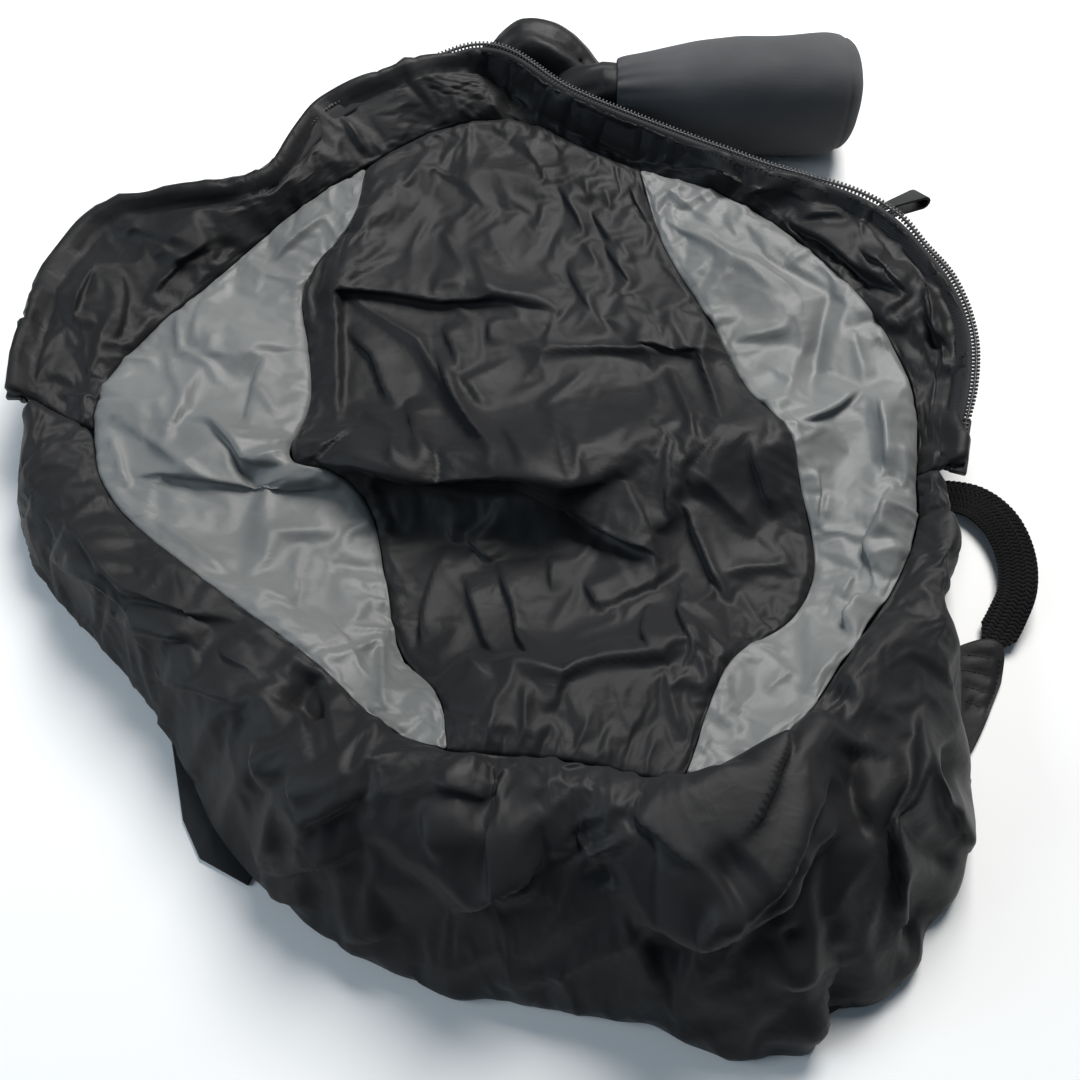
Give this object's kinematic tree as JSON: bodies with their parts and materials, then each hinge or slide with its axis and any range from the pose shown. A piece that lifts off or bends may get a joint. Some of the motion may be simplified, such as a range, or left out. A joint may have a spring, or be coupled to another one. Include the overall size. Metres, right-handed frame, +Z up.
{
  "type": "packable backpack",
  "caption": "Soft packable backpack lying open on its back: black front with grey side panels, zip open round its top, stuff pouch on a gathered neck.",
  "frame": {"origin": "on the floor under the middle of the bag's box", "axes": "+Y towards the bag's top end, +X to the right of someone at its bottom end, +Z up from the floor"},
  "size_m": [0.5674, 0.6456, 0.0882],
  "materials": {
    "black_nylon": "fine twill nylon with a soft sheen",
    "grey_nylon": "fine twill nylon with a soft sheen",
    "zip_tape": "woven tape",
    "zip_coil": "satin",
    "slider_metal": "black paint",
    "pouch_cloth": "matt stretch cloth",
    "strap_cloth": "matt padded cloth",
    "buckle_plastic": "matt moulded",
    "webbing": "coarse woven"
  },
  "bodies": {
    "root": {"centre_panel": "black_nylon", "grey_panel_left": "grey_nylon", "grey_panel_right": "grey_nylon", "front_gusset": "black_nylon", "bottom_gusset": "black_nylon", "back_panel": "black_nylon", "back_gusset": "black_nylon", "zip_tape_front": "zip_tape", "zip_tape_back": "zip_tape", "zip_coil_front": "zip_coil", "zip_coil_back": "zip_coil", "zip_slider_left": "slider_metal", "zip_slider_right": "slider_metal", "hang_loop": "black_nylon", "pouch": "pouch_cloth", "pouch_neck": "black_nylon", "shoulder_strap_left": "strap_cloth", "shoulder_strap_right": "strap_cloth", "strap_buckle_left": "buckle_plastic", "strap_buckle_right": "buckle_plastic", "strap_webbing_left": "webbing", "strap_webbing_right": "webbing", "strap_tab_left": "black_nylon", "strap_tab_right": "black_nylon"}
  },
  "joints": []
}
